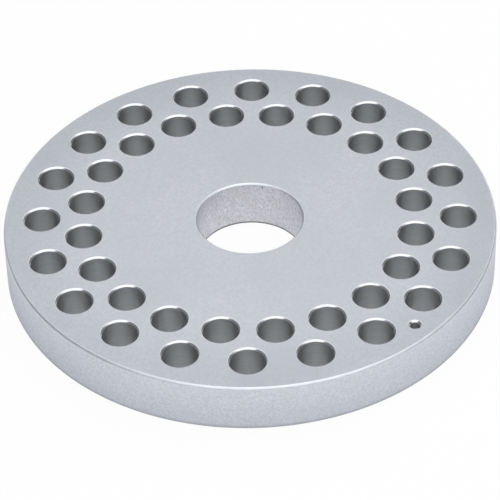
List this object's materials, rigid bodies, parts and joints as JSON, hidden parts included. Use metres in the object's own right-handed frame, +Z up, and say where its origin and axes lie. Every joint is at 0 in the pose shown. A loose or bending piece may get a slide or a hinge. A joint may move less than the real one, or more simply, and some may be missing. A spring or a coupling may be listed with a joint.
{
  "type": "heat block insert",
  "caption": "Flat round aluminium insert with two staggered rings of flat-bottomed wells for small vials, a wide bore through its middle and a small probe hole near its rim.",
  "frame": {"origin": "middle of the underside, on the axis of the centre bore", "axes": "+Z up along the bore's axis, out of the wells; +Y through the middle of an outer well"},
  "size_m": [0.1778, 0.1778, 0.0191],
  "materials": {
    "blasted_aluminium": "bead-blasted, with bright cut chamfers and drilled wells"
  },
  "bodies": {
    "root": {"heat_block": "blasted_aluminium"}
  },
  "joints": []
}
